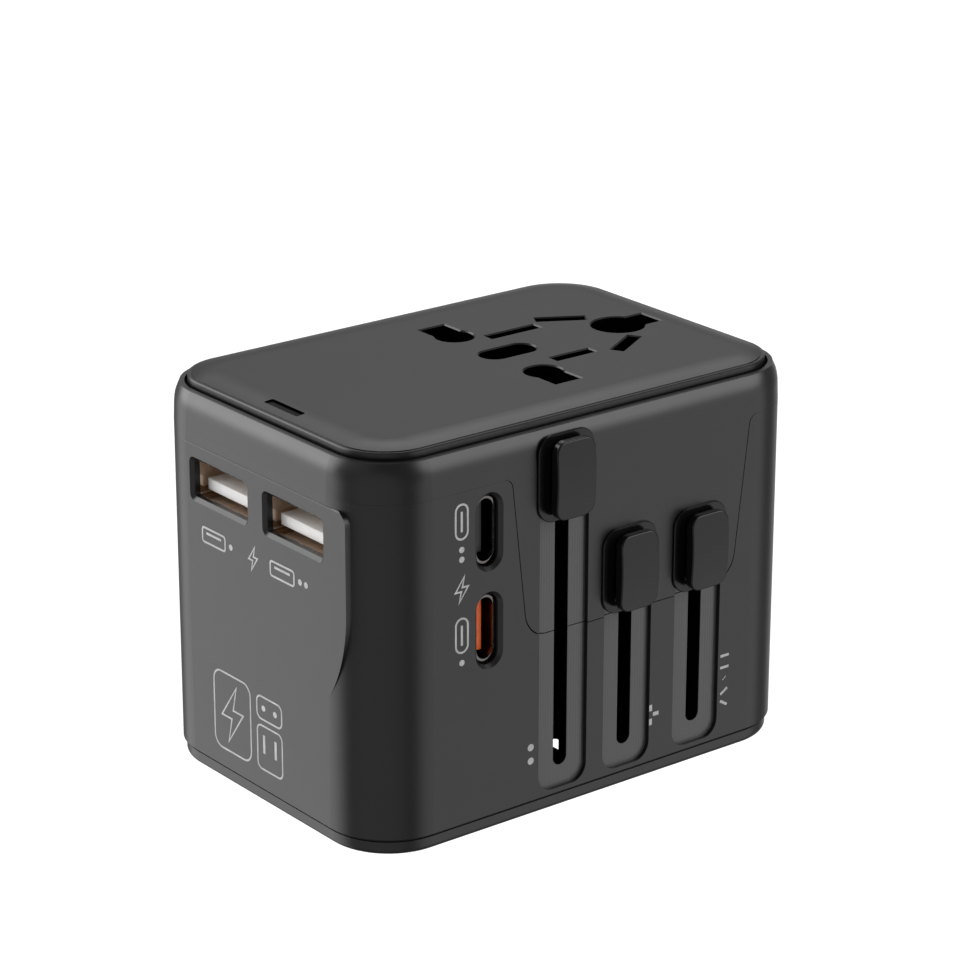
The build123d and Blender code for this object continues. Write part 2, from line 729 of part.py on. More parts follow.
# ================================================================ round-pin slider
with BuildPart() as eu_carrier:
    with BuildSketch(Plane.XY.offset(nose_z)):
        with Locations((eu_x, 0)):
            SlotOverall(nose_d, nose_w, rotation=90)
    extrude(amount=nose_top_z - nose_z)
    fillet(eu_carrier.faces().sort_by(Axis.Z)[0].edges(), 0.6)
    with BuildSketch(Plane.XY.offset(31.0)):
        with Locations((eu_x, 0)):
            SlotOverall(nose_d - 3.6, nose_w - 3.6, rotation=90)
    extrude(amount=20, mode=Mode.SUBTRACT)
    block(eu_x - arm_w / 2, eu_x + arm_w / 2, arm_front_y, -14.0, 39.4, 49.6)
    for y in (eu_pin_y, -eu_pin_y):
        post(eu_x, y, nose_z - 1, nose_z + 4, eu_sleeve_r, mode=Mode.SUBTRACT)
        post(eu_x, y, nose_z, 28.0, eu_core_r, mode=Mode.SUBTRACT)
    knob_sockets(eu_x, eu_knob_z)
save(eu_carrier, "eu_carrier")

with BuildPart() as eu_pins:
    for y in (eu_pin_y, -eu_pin_y):
        post(eu_x, y, eu_tip_z, eu_bare_z, eu_pin_r)
    tips = eu_pins.faces().sort_by(Axis.Z)[:2]
    fillet([edge for face in tips for edge in face.edges()], 1.3)
    for y in (eu_pin_y, -eu_pin_y):
        post(eu_x, y, eu_bare_z, 28.0, eu_core_r)
save(eu_pins, "eu_pins")

with BuildPart() as eu_pin_sleeves:
    for y in (eu_pin_y, -eu_pin_y):
        post(eu_x, y, eu_bare_z, nose_z + 4, eu_sleeve_r)
        post(eu_x, y, eu_bare_z, nose_z + 4, eu_core_r, mode=Mode.SUBTRACT)
save(eu_pin_sleeves, "eu_pin_sleeves")

# ================================================================ three-pin slider
with BuildPart() as uk_carrier:
    block(1.8, 8.6, -15.2, 15.2, carrier_z, uk_carrier_top_z)
    block(1.8, 31.9, 11.0, 15.2, carrier_z, uk_carrier_top_z)
    block(22.9, 31.9, -2.9, 15.2, carrier_z, uk_carrier_top_z)
    fillet(uk_carrier.edges().filter_by(Axis.Z), 0.6)
    block(uk_x - arm_w / 2, uk_x + arm_w / 2, arm_front_y, -13.0, carrier_z + 2.6, arm_top_z)
    block(uk_x - arm_w / 2, uk_x + arm_w / 2, -16.8, -13.0, 33.0, arm_top_z, mode=Mode.SUBTRACT)
    for side in (1, -1):
        block(uk_x - uk_line_w / 2, uk_x + uk_line_w / 2, side * uk_line_y - uk_line_d / 2,
              side * uk_line_y + uk_line_d / 2, carrier_z - 1, carrier_z + 1, Mode.SUBTRACT)
        block(uk_x - uk_line_w / 2 + uk_core_in, uk_x + uk_line_w / 2 - uk_core_in,
              side * uk_line_y - uk_line_d / 2 + uk_core_in, side * uk_line_y + uk_line_d / 2 - uk_core_in,
              carrier_z - 1, root_z, Mode.SUBTRACT)
    block(uk_earth_x - uk_earth_w / 2, uk_earth_x + uk_earth_w / 2, -uk_earth_d / 2, uk_earth_d / 2,
          carrier_z - 1, root_z, Mode.SUBTRACT)
    knob_sockets(uk_x, low_knob_z)
save(uk_carrier, "uk_carrier")


def line_pin(side, inset, z0, z1, mode=Mode.ADD):
    """One flat-sided line pin between two heights, its section moved in by inset."""
    half_w = uk_line_w / 2 - inset
    half_d = uk_line_d / 2 - inset
    block(uk_x - half_w, uk_x + half_w, side * uk_line_y - half_d, side * uk_line_y + half_d, z0, z1, mode)


with BuildPart() as uk_line_pins:
    line_pin(1, 0, uk_tip_z, uk_bare_z)
    line_pin(-1, 0, uk_tip_z, uk_bare_z)
    tips = uk_line_pins.faces().sort_by(Axis.Z)[:2]
    chamfer([edge for face in tips for edge in face.edges()], 0.9)
    line_pin(1, uk_core_in, uk_bare_z, root_z)
    line_pin(-1, uk_core_in, uk_bare_z, root_z)
save(uk_line_pins, "uk_line_pins")

with BuildPart() as uk_line_pin_sleeves:
    for side in (1, -1):
        line_pin(side, 0, uk_bare_z, carrier_z + 1)
        line_pin(side, uk_core_in, uk_bare_z, carrier_z + 1, Mode.SUBTRACT)
save(uk_line_pin_sleeves, "uk_line_pin_sleeves")

with BuildPart() as uk_earth_pin:
    block(uk_earth_x - uk_earth_w / 2, uk_earth_x + uk_earth_w / 2, -uk_earth_d / 2, uk_earth_d / 2,
          uk_earth_tip_z, root_z)
    chamfer(uk_earth_pin.faces().sort_by(Axis.Z)[0].edges(), 1.1)
save(uk_earth_pin, "uk_earth_pin")

# ================================================================ flat-blade slider
with BuildPart() as us_carrier:
    block(13.4, 21.9, -10.2, 10.2, carrier_z, us_carrier_top_z)
    fillet(us_carrier.edges().filter_by(Axis.Z), 0.6)
    block(us_x - arm_w / 2, us_x + arm_w / 2, arm_front_y, -9.0, carrier_z + 2.6, us_carrier_top_z)
    block(us_x - arm_w / 2, us_x + arm_w / 2, arm_front_y, -16.8, us_carrier_top_z, arm_top_z)
    for y in (us_blade_y, -us_blade_y):
        post(us_pivot_x, y, carrier_z - 1, hub_shelf_z, hub_r + hub_gap, mode=Mode.SUBTRACT)
        post(us_pivot_x, y, hub_shelf_z, us_carrier_top_z + 1, hub_head_r + 0.15, mode=Mode.SUBTRACT)
    knob_sockets(us_x, low_knob_z)
save(us_carrier, "us_carrier")


def blade(y):
    """One flat blade with its tang up into the hub."""
    block(us_x - us_blade_w / 2, us_x + us_blade_w / 2, y - us_blade_t / 2, y + us_blade_t / 2,
          us_tip_z, carrier_z - 0.4)


def tang(y, mode=Mode.ADD):
    """The narrow end of a blade that the hub holds."""
    block(us_pivot_x - 1.7, us_pivot_x + 1.7, y - us_blade_t / 2, y + us_blade_t / 2,
          carrier_z - 0.4, root_z, mode)


with BuildPart() as us_blade_front:
    blade(-us_blade_y)
    chamfer(us_blade_front.faces().sort_by(Axis.Z)[0].edges(), 0.45)
    tang(-us_blade_y)
save(us_blade_front, "us_blade_front")

with BuildPart() as us_blade_rear:
    blade(us_blade_y)
    chamfer(us_blade_rear.faces().sort_by(Axis.Z)[0].edges(), 0.45)
    tang(us_blade_y)
save(us_blade_rear, "us_blade_rear")


def hub(y):
    """The turning hub of one blade, with the head it hangs from."""
    post(us_pivot_x, y, carrier_z, hub_shelf_z + hub_gap, hub_r)
    post(us_pivot_x, y, hub_shelf_z + hub_gap, hub_shelf_z + 1.3, hub_head_r)
    tang(y, Mode.SUBTRACT)


with BuildPart() as us_hub_front:
    hub(-us_blade_y)
save(us_hub_front, "us_hub_front")

with BuildPart() as us_hub_rear:
    hub(us_blade_y)
save(us_hub_rear, "us_hub_rear")
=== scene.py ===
import math

import bpy
from mathutils import Matrix, Vector


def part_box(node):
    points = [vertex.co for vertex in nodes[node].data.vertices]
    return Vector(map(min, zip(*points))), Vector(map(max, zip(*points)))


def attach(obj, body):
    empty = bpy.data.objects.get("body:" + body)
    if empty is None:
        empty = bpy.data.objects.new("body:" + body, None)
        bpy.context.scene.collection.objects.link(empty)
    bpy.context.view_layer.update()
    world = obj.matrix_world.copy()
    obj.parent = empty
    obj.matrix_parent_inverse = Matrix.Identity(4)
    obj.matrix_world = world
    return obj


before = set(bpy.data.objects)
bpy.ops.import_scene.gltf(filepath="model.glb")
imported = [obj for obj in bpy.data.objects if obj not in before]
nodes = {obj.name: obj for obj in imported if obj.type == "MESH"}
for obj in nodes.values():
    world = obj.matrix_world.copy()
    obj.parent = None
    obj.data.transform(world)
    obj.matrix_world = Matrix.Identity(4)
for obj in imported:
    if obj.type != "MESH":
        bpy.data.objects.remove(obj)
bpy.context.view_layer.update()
MM = 0.001


# ------------------------------------------------------------------ camera
CAMERA_AZ, CAMERA_EL, CAMERA_ROLL = -38.08, 20.0, 0.053  # degrees, as fitted to the photo's edges
CAMERA_AIM = Vector((0, 1.25, 30))  # mm, near the middle of the case
CAMERA_AWAY = 463.02  # mm from the aim to the lens
CAMERA_RIGHT, CAMERA_UP = 0.22, 6.61  # mm, sideways shift that centres the object as in the photo
LENS, SENSOR = 129.65, 36  # mm


def add_camera():
    az, el, roll = (math.radians(angle) for angle in (CAMERA_AZ, CAMERA_EL, CAMERA_ROLL))
    back = Vector((math.sin(az) * math.cos(el), -math.cos(az) * math.cos(el), math.sin(el)))
    level = (-back).cross(Vector((0, 0, 1))).normalized()
    steep = level.cross(-back)
    right = level * math.cos(roll) + steep * math.sin(roll)
    up = -level * math.sin(roll) + steep * math.cos(roll)
    place = CAMERA_AIM + back * CAMERA_AWAY + right * CAMERA_RIGHT + up * CAMERA_UP
    data = bpy.data.cameras.new("camera")
    data.sensor_width = SENSOR
    data.lens = LENS
    data.clip_start = 0.01
    cam = bpy.data.objects.new("camera", data)
    cam.matrix_world = Matrix.Translation(place * MM) @ Matrix((right, up, back)).transposed().to_4x4()
    bpy.context.collection.objects.link(cam)
    bpy.context.scene.camera = cam


add_camera()


# ------------------------------------------------------------------ stage: white floor and white surround
def stage_material(name, diffuse, glow):
    """A matt grey that also glows white by the given strength."""
    mat = bpy.data.materials.new(name)
    mat.use_nodes = True
    shader = mat.node_tree.nodes["Principled BSDF"]
    shader.inputs["Base Color"].default_value = (diffuse, diffuse, diffuse, 1)
    shader.inputs["Roughness"].default_value = 1.0
    shader.inputs["Specular IOR Level"].default_value = 0.0
    shader.inputs["Emission Color"].default_value = (1, 1, 1, 1)
    shader.inputs["Emission Strength"].default_value = glow
    return mat


def see_through_from_below(mat):
    """Lets the underside of the object be seen from under the floor."""
    tree = mat.node_tree
    mix = tree.nodes.new("ShaderNodeMixShader")
    clear = tree.nodes.new("ShaderNodeBsdfTransparent")
    side = tree.nodes.new("ShaderNodeNewGeometry")
    tree.links.new(side.outputs["Backfacing"], mix.inputs[0])
    tree.links.new(tree.nodes["Principled BSDF"].outputs[0], mix.inputs[1])
    tree.links.new(clear.outputs[0], mix.inputs[2])
    tree.links.new(mix.outputs[0], tree.nodes["Material Output"].inputs["Surface"])


def only_seen(obj):
    """Keeps a stage object out of the lighting and the reflections: only the camera sees it."""
    obj.visible_glossy = False
    obj.visible_diffuse = False
    obj.visible_shadow = False
    obj.visible_transmission = False


FLOOR_Z = -38.5 * MM  # low enough for the longest plug pins when they are slid out
FLOOR_HALF, SURROUND_REACH = 8.0, 7.5  # m


def add_floor():
    mesh = bpy.data.meshes.new("floor")
    s = FLOOR_HALF
    mesh.from_pydata([(-s, -s, 0), (s, -s, 0), (s, s, 0), (-s, s, 0)], [], [(0, 1, 2, 3)])
    floor = bpy.data.objects.new("floor", mesh)
    floor.location.z = FLOOR_Z
    bpy.context.collection.objects.link(floor)
    mat = stage_material("floor", 0.35, 0.86)
    see_through_from_below(mat)
    mesh.materials.append(mat)
    only_seen(floor)


def add_surround():
    """A white dome, open by a hair at its top, for what the floor doesn't fill."""
    mesh = bpy.data.meshes.new("surround")
    rings, turns, reach = 8, 48, SURROUND_REACH
    verts = []
    for i in range(rings + 1):
        lift = math.pi / 2 * i / rings * 0.995
        for j in range(turns):
            around = 2 * math.pi * j / turns
            flat = reach * math.cos(lift)
            height = reach * math.sin(lift) + FLOOR_Z - MM
            verts.append((flat * math.cos(around), flat * math.sin(around), height))
    faces = []
    for i in range(rings):
        for j in range(turns):
            k = (j + 1) % turns
            faces.append((i * turns + j, i * turns + k, (i + 1) * turns + k, (i + 1) * turns + j))
    mesh.from_pydata(verts, [], faces)
    wall = bpy.data.objects.new("surround", mesh)
    bpy.context.collection.objects.link(wall)
    mesh.materials.append(stage_material("surround", 0.0, 1.0))
    only_seen(wall)


SHADE_Z = -0.12 * MM


def add_floor_shade():
    """An unseen shade right under the case, which keeps light from coming up through its openings."""
    low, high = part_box("base_plate")
    inset = 1.2 * MM
    x0, x1, y0, y1 = low.x + inset, high.x - inset, low.y + inset, high.y - inset
    cut = 6.0 * MM
    outline = [(x0 + cut, y0), (x1 - cut, y0), (x1, y0 + cut), (x1, y1 - cut),
               (x1 - cut, y1), (x0 + cut, y1), (x0, y1 - cut), (x0, y0 + cut)]
    mesh = bpy.data.meshes.new("floor_shade")
    mesh.from_pydata([(x, y, SHADE_Z) for x, y in outline], [], [tuple(range(8))])
    patch = bpy.data.objects.new("floor_shade", mesh)
    bpy.context.collection.objects.link(patch)
    mesh.materials.append(stage_material("floor_shade", 0.01, 0.0))
    patch.visible_camera = False


add_floor()
add_floor_shade()
add_surround()


# ------------------------------------------------------------------ studio light: soft boxes in the world
SOFT_BOXES = [
    # (direction, full inside degrees, gone beyond degrees, radiance)
    ((-0.58, 0.74, -0.34), 12, 38, 1.6),
    ((-0.50, 0.75, 0.35), 12, 34, 4.2),
    ((0.58, -0.74, -0.34), 12, 34, 0.95),
    ((0.60, -0.70, 0.40), 10, 28, 3.5),
    ((0.45, 0.55, 0.70), 8, 26, 1.4),
    ((0.58, 0.74, 0.342), 12, 30, 0.08),
    ((-0.80, 0.00, 0.60), 10, 35, 0.3),
    ((-0.71, -0.55, -0.34), 20, 50, 0.35),
    ((0.74, 0.58, -0.34), 12, 32, 0.4),
]
BASE = 0.18  # radiance between the soft boxes


def add_world():
    world = bpy.data.worlds.new("studio")
    world.use_nodes = True
    tree = world.node_tree
    background = tree.nodes["Background"]
    background.inputs["Color"].default_value = (1, 1, 1, 1)
    coord = tree.nodes.new("ShaderNodeTexCoord")
    total = None
    for direction, inner, outer, radiance in SOFT_BOXES:
        dot = tree.nodes.new("ShaderNodeVectorMath")
        dot.operation = "DOT_PRODUCT"
        tree.links.new(coord.outputs["Generated"], dot.inputs[0])
        dot.inputs[1].default_value = Vector(direction).normalized()
        ramp = tree.nodes.new("ShaderNodeMapRange")
        ramp.interpolation_type = "SMOOTHSTEP"
        ramp.inputs["From Min"].default_value = math.cos(math.radians(outer))
        ramp.inputs["From Max"].default_value = math.cos(math.radians(inner))
        ramp.inputs["To Min"].default_value = 0.0
        ramp.inputs["To Max"].default_value = radiance
        tree.links.new(dot.outputs["Value"], ramp.inputs["Value"])
        add = tree.nodes.new("ShaderNodeMath")
        add.operation = "ADD"
        tree.links.new(ramp.outputs["Result"], add.inputs[0])
        if total is None:
            add.inputs[1].default_value = BASE
        else:
            tree.links.new(total, add.inputs[1])
        total = add.outputs[0]
    tree.links.new(total, background.inputs["Strength"])
    bpy.context.scene.world = world
    bpy.context.scene.view_settings.view_transform = "Standard"


add_world()


# ------------------------------------------------------------------ materials
CASE_BLACK = (0.0085, 0.0083, 0.0083)
RIB_GREY = (0.075, 0.075, 0.076)
# painted shade: the near-black colour laid on walls that no light reaches
PAINTED_SHADE_BLACK = (0.001, 0.001, 0.001)


class Finish:
    """One procedural material: a shader with grain, roughness variation and a colour drift."""

    def __init__(self, name, color, rough, metallic=0.0):
        self.mat = bpy.data.materials.new(name)
        self.mat.use_nodes = True
        self.tree = self.mat.node_tree
        self.shader = self.tree.nodes["Principled BSDF"]
        self.shader.inputs["Base Color"].default_value = (*color, 1)
        self.shader.inputs["Roughness"].default_value = rough
        self.shader.inputs["Metallic"].default_value = metallic
        self.color, self.rough = color, rough
        self.coord = self.tree.nodes.new("ShaderNodeTexCoord").outputs["Object"]
        self.relief = None

    def node(self, kind, **inputs):
        made = self.tree.nodes.new(kind)
        for key, value in inputs.items():
            made.inputs[key.replace("_", " ")].default_value = value
        return made

    def link(self, a, b):
        self.tree.links.new(a, b)

    def math(self, operation, a, b=None, c=None):
        made = self.tree.nodes.new("ShaderNodeMath")
        made.operation = operation
        for i, value in enumerate((a, b, c)):
            if value is None:
                continue
            if isinstance(value, (int, float)):
                made.inputs[i].default_value = value
            else:
                self.link(value, made.inputs[i])
        return made.outputs[0]

    def noise(self, scale, detail=3.0, stretch=None):
        source = self.coord
        if stretch:
            mapping = self.tree.nodes.new("ShaderNodeMapping")
            mapping.inputs["Scale"].default_value = stretch
            self.link(source, mapping.inputs["Vector"])
            source = mapping.outputs["Vector"]
        made = self.node("ShaderNodeTexNoise", Scale=scale, Detail=detail)
        self.link(source, made.inputs["Vector"])
        return made.outputs["Fac"]

    def spread(self, fac, low, high, start=0.3, end=0.7):
        made = self.node("ShaderNodeMapRange", From_Min=start, From_Max=end, To_Min=low, To_Max=high)
        self.link(fac, made.inputs["Value"])
        return made.outputs["Result"]

    def vary_rough(self, amount, scale=120.0, stretch=None):
        fac = self.noise(scale, 4.0, stretch)
        self.link(self.spread(fac, self.rough - amount, self.rough + amount), self.shader.inputs["Roughness"])
        return self

    def vary_color(self, amount, scale=60.0, tint=None, stretch=None):
        mix = self.tree.nodes.new("ShaderNodeMix")
        mix.data_type = "RGBA"
        low = [channel * (1 - amount) for channel in self.color]
        high = tint or [channel * (1 + amount) for channel in self.color]
        mix.inputs[6].default_value = (*low, 1)
        mix.inputs[7].default_value = (*high, 1)
        self.link(self.spread(self.noise(scale, 4.0, stretch), 0.0, 1.0), mix.inputs[0])
        self.link(mix.outputs[2], self.shader.inputs["Base Color"])
        return self

    def grain(self, scale, depth, strength=0.3, stretch=None):
        return self.bump(self.noise(scale, 2.0, stretch), depth, strength)

    def bump(self, height, depth, strength=0.3):
        made = self.node("ShaderNodeBump", Strength=strength, Distance=depth * MM)
        self.link(height, made.inputs["Height"])
        if self.relief is not None:
            self.link(self.relief, made.inputs["Normal"])
        self.relief = made.outputs["Normal"]
        self.link(self.relief, self.shader.inputs["Normal"])
        return self

    def paint(self, mask, color):
        """Lays a flat colour over the present one where the mask is 1."""
        target = self.shader.inputs["Base Color"]
        mix = self.tree.nodes.new("ShaderNodeMix")
        mix.data_type = "RGBA"
        if target.is_linked:
            self.link(target.links[0].from_socket, mix.inputs[6])
        else:
            mix.inputs[6].default_value = target.default_value
        mix.inputs[7].default_value = (*color, 1)
        self.link(mask, mix.inputs[0])
        self.link(mix.outputs[2], target)
        return self

    def paint_shade(self, mask):
        """Painted shade: black without a highlight where the mask is 1, for walls that no light reaches."""
        self.paint(mask, PAINTED_SHADE_BLACK)
        self.link(self.math("MULTIPLY_ADD", mask, -0.5, 0.5), self.shader.inputs["Specular IOR Level"])

    def axes(self, vector):
        """The X, Y and Z of a vector socket."""
        split = self.tree.nodes.new("ShaderNodeSeparateXYZ")
        self.link(vector, split.inputs[0])
        return split.outputs["X"], split.outputs["Y"], split.outputs["Z"]

    def surface_normal(self):
        return self.tree.nodes.new("ShaderNodeNewGeometry").outputs["Normal"]

    def paint_edge_highlight(self, highlight_color, radius):
        """A painted highlight: a paler line on the outside edges, broken up by noise."""
        soft = self.node("ShaderNodeBevel", Radius=radius * MM)
        soft.samples = 2
        dot = self.tree.nodes.new("ShaderNodeVectorMath")
        dot.operation = "DOT_PRODUCT"
        self.link(soft.outputs["Normal"], dot.inputs[0])
        self.link(self.surface_normal(), dot.inputs[1])
        edge = self.spread(dot.outputs["Value"], 1.0, 0.0, 0.86, 0.995)
        edge = self.math("MULTIPLY", edge, self.spread(self.noise(900.0, 3.0), 0.25, 1.0))
        return self.paint(edge, highlight_color)

    def on(self, *names):
        for name in names:
            for slot in nodes[name].material_slots:
                slot.material = self.mat
        return self


def case_plastic(name, color, rough, highlight_gain=2.0):
    """Spark-textured case plastic: fine even grain, faint cloudiness and a painted highlight on the outside
    edges.
    """
    made = Finish(name, color, rough)
    made.vary_rough(0.012, 260.0)
    made.vary_color(0.10, 90.0)
    # painted highlight on the outside edges, the case colour raised by the given gain
    made.paint_edge_highlight([channel * highlight_gain for channel in color], 0.22)
    made.grain(5200.0, 0.012, 0.35)
    return made


# The slider tracks, in mm: depths are from the slider face.
TRACK_HALF_WIDTH = 3.95
TRACK_FLOOR = (0.4, 0.8)
SLOT_DEPTH = 3.4
TRACK_END = 0.7  # below the top of the knob, so that the case above the track stays plain
RIB_PITCH = 0.42


def add_track_ribs(made):
    """Ribs on the floors of the three slider tracks, in a paler moulded finish, and painted shade in the
    slots in them.
    """
    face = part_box("lower_shell")[0].y
    x, y, z = made.axes(made.coord)
    deep = made.math("GREATER_THAN", y, face + TRACK_FLOOR[0] * MM)
    shallow = made.math("LESS_THAN", y, face + TRACK_FLOOR[1] * MM)
    facing = made.math("LESS_THAN", made.axes(made.surface_normal())[1], -0.9)
    inside = None
    for knob_name in ("eu_knob", "uk_knob", "us_knob"):
        low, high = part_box(knob_name)
        off = made.math("ABSOLUTE", made.math("SUBTRACT", x, (low.x + high.x) / 2))
        near = made.math("LESS_THAN", off, TRACK_HALF_WIDTH * MM)
        near = made.math("MULTIPLY", near, made.math("LESS_THAN", z, high.z - TRACK_END * MM))
        inside = near if inside is None else made.math("MAXIMUM", inside, near)
    mask = made.math("MULTIPLY", made.math("MULTIPLY", deep, shallow), made.math("MULTIPLY", facing, inside))
    wave = made.math("SINE", made.math("MULTIPLY", x, 2 * math.pi / (RIB_PITCH * MM)))
    ribs = made.math("MULTIPLY", made.math("MULTIPLY_ADD", wave, 0.5, 0.5), mask)
    made.bump(ribs, 0.02, 0.4)
    made.paint(made.math("MULTIPLY", mask, made.math("MULTIPLY_ADD", wave, 0.08, 0.92)), RIB_GREY)
    # painted shade: the slots below the track floors are painted black without a highlight
    below = made.math("GREATER_THAN", y, face + TRACK_FLOOR[1] * MM)
    below = made.math("MULTIPLY", below, made.math("LESS_THAN", y, face + SLOT_DEPTH * MM))
    under = made.math("LESS_THAN", z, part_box("eu_knob")[1].z - TRACK_END * MM)
    made.paint_shade(made.math("MULTIPLY", made.math("MULTIPLY", below, under), inside))


PLATE_EDGE_X, PLATE_EDGE_Y = 1.6, 4.0  # mm, the plate's own edge, outside every socket opening


def paint_opening_shade(made):
    """Painted shade: the walls of the socket openings are painted black, because no light reaches down them.
    """
    low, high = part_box("socket_plate")
    middle = (low + high) / 2
    x, y, _ = made.axes(made.coord)
    wall = made.math("LESS_THAN", made.axes(made.surface_normal())[2], 0.5)
    off_x = made.math("ABSOLUTE", made.math("SUBTRACT", x, middle.x))
    off_y = made.math("ABSOLUTE", made.math("SUBTRACT", y, middle.y))
    in_x = made.math("LESS_THAN", off_x, (high.x - low.x) / 2 - PLATE_EDGE_X * MM)
    in_y = made.math("LESS_THAN", off_y, (high.y - low.y) / 2 - PLATE_EDGE_Y * MM)
    # painted shade on the walls of the socket openings
    made.paint_shade(made.math("MULTIPLY", wall, made.math("MULTIPLY", in_x, in_y)))


def add_case_materials():
    lower = case_plastic("lower_case_plastic", CASE_BLACK, 0.31)
    add_track_ribs(lower)
    lower.on("lower_shell")
    upper = case_plastic("upper_case_plastic", CASE_BLACK, 0.30)
    add_track_ribs(upper)
    upper.on("upper_shell")
    case_plastic("base_plate_plastic", CASE_BLACK, 0.32).on("base_plate")
    # a fainter painted edge highlight on the socket face
    plate = case_plastic("socket_face_plastic", CASE_BLACK, 0.29, 1.3)
    paint_opening_shade(plate)
    plate.on("socket_plate")
    window = Finish("window_plastic", (0.008, 0.008, 0.009), 0.12)
    window.vary_rough(0.03, 500.0).vary_color(0.3, 300.0)
    window.shader.inputs["Specular IOR Level"].default_value = 0.05
    window.on("indicator_window")


def add_slider_materials():
    knob = Finish("knob_plastic", (0.006, 0.006, 0.0061), 0.2)
    knob.vary_rough(0.03, 300.0).vary_color(0.15, 140.0).grain(6000.0, 0.002, 0.12)
    knob.shader.inputs["Specular IOR Level"].default_value = 0.32
    knob.on("eu_knob", "uk_knob", "us_knob", "eu_button", "uk_button", "us_button")
    inner = Finish("inner_plastic", (0.005, 0.005, 0.0052), 0.6)
    inner.vary_rough(0.08, 200.0).vary_color(0.2, 80.0).grain(2600.0, 0.01, 0.3)
    inner.shader.inputs["Specular IOR Level"].default_value = 0.1
    inner.on("guide_frame", "uk_carrier", "us_carrier", "us_hub_front", "us_hub_rear")
    inner.on("eu_pin_sleeves", "uk_line_pin_sleeves")
    nose = Finish("nose_plastic", (0.012, 0.012, 0.0123), 0.42).vary_rough(0.06, 240.0)
    # painted highlight on the outside edges of the nose
    nose.vary_color(0.15, 80.0).paint_edge_highlight((0.05, 0.05, 0.05), 0.2).grain(4200.0, 0.01, 0.3)
    nose.on("eu_carrier")


ALONG_X, ALONG_Z, EVEN = (0.08, 1.0, 1.0), (1.0, 1.0, 0.06), (1.0, 1.0, 1.0)  # scratch directions


def plated(name, color, rough, scratch=ALONG_Z):
    """Bright metal with fine scratches, from sliding in and out of sockets."""
    made = Finish(name, color, rough, 1.0)
    made.vary_rough(0.07, 1500.0, scratch).vary_color(0.10, 700.0, None, scratch)
    return made.grain(4200.0, 0.004, 0.25, scratch)


def add_metals():
    plated("pin_nickel", (0.66, 0.645, 0.61), 0.24).on(
        "eu_pins", "uk_line_pins", "uk_earth_pin", "us_blade_front", "us_blade_rear")
    plated("contact_brass", (0.58, 0.42, 0.19), 0.36, ALONG_X).on(
        "live_contact", "neutral_contact", "earth_contact")
    plated("zinc_steel", (0.52, 0.53, 0.55), 0.33, EVEN).on(
        "housing_screws", "eu_button_spring", "uk_button_spring", "us_button_spring")
    plated("type_a_metal", (0.72, 0.57, 0.44), 0.12, (0.05, 1.0, 1.0)).on(
        "type_a_shell_front", "type_a_shell_rear")
    plated("type_c_metal", (0.13, 0.122, 0.115), 0.12, (1.0, 0.05, 1.0)).on(
        "type_c_shell_upper", "type_c_shell_lower")
    plated("fuse_cap_metal", (0.6, 0.59, 0.55), 0.3, (1.0, 1.0, 0.1)).on("fuse_caps")


def add_tongue_materials():
    white = Finish("tongue_white", (0.93, 0.93, 0.925), 0.34)
    white.vary_rough(0.05, 400.0).vary_color(0.035, 160.0).grain(3000.0, 0.006, 0.2)
    white.shader.inputs["Subsurface Weight"].default_value = 0.7
    white.shader.inputs["Subsurface Radius"].default_value = (1.0, 1.0, 1.0)
    white.shader.inputs["Subsurface Scale"].default_value = 1.5 * MM
    white.on("type_a_tongue_front", "type_a_tongue_rear")
    orange = Finish("tongue_orange", (1.0, 0.14, 0.01), 0.3).vary_rough(0.05, 400.0)
    orange.vary_color(0.08, 200.0).grain(3000.0, 0.006, 0.2).on("type_c_tongue_lower")
    black = Finish("tongue_black", (0.014, 0.014, 0.014), 0.33).vary_rough(0.05, 400.0)
    black.vary_color(0.2, 200.0).grain(3000.0, 0.006, 0.2).on("type_c_tongue_upper")


def add_electronics_materials():
    board = Finish("circuit_board", (0.012, 0.09, 0.035), 0.35).vary_rough(0.08, 300.0)
    board.vary_color(0.45, 420.0, (0.03, 0.16, 0.06)).grain(1800.0, 0.02, 0.4)
    board.on("charger_board", "port_board")
    ferrite = Finish("ferrite", (0.045, 0.044, 0.044), 0.7).vary_rough(0.1, 500.0)
    ferrite.vary_color(0.3, 900.0).grain(2400.0, 0.03, 0.6).on("transformer_core", "choke")
    tape = Finish("winding_tape", (0.62, 0.44, 0.07), 0.3).vary_rough(0.1, 200.0, (1.0, 1.0, 6.0))
    tape.vary_color(0.16, 160.0, None, (1.0, 1.0, 8.0)).grain(500.0, 0.04, 0.5, (0.2, 0.2, 8.0))
    tape.on("transformer_winding")
    sleeve = Finish("can_sleeve", (0.012, 0.02, 0.06), 0.25).vary_rough(0.06, 250.0)
    sleeve.vary_color(0.2, 180.0).grain(700.0, 0.02, 0.3).on("input_capacitor", "output_capacitors")
    chip = Finish("chip_epoxy", (0.018, 0.018, 0.018), 0.6).vary_rough(0.08, 700.0)
    chip.vary_color(0.25, 500.0).grain(3600.0, 0.015, 0.5).on("bridge_rectifier")
    ceramic = Finish("fuse_ceramic", (0.78, 0.75, 0.68), 0.28).vary_rough(0.06, 300.0)
    ceramic.vary_color(0.05, 200.0).grain(900.0, 0.008, 0.3).on("fuse_body")


add_case_materials()
add_slider_materials()
add_metals()
add_tongue_materials()
add_electronics_materials()


# ------------------------------------------------------------------ printed marks: generic pictograms
THIN, STROKE, TONGUE = 0.24, 0.28, 0.34  # mm, line widths of the marks
FRAME_STROKE = 0.26
COUNT_DOT = 0.42  # mm, radius of a counting dot


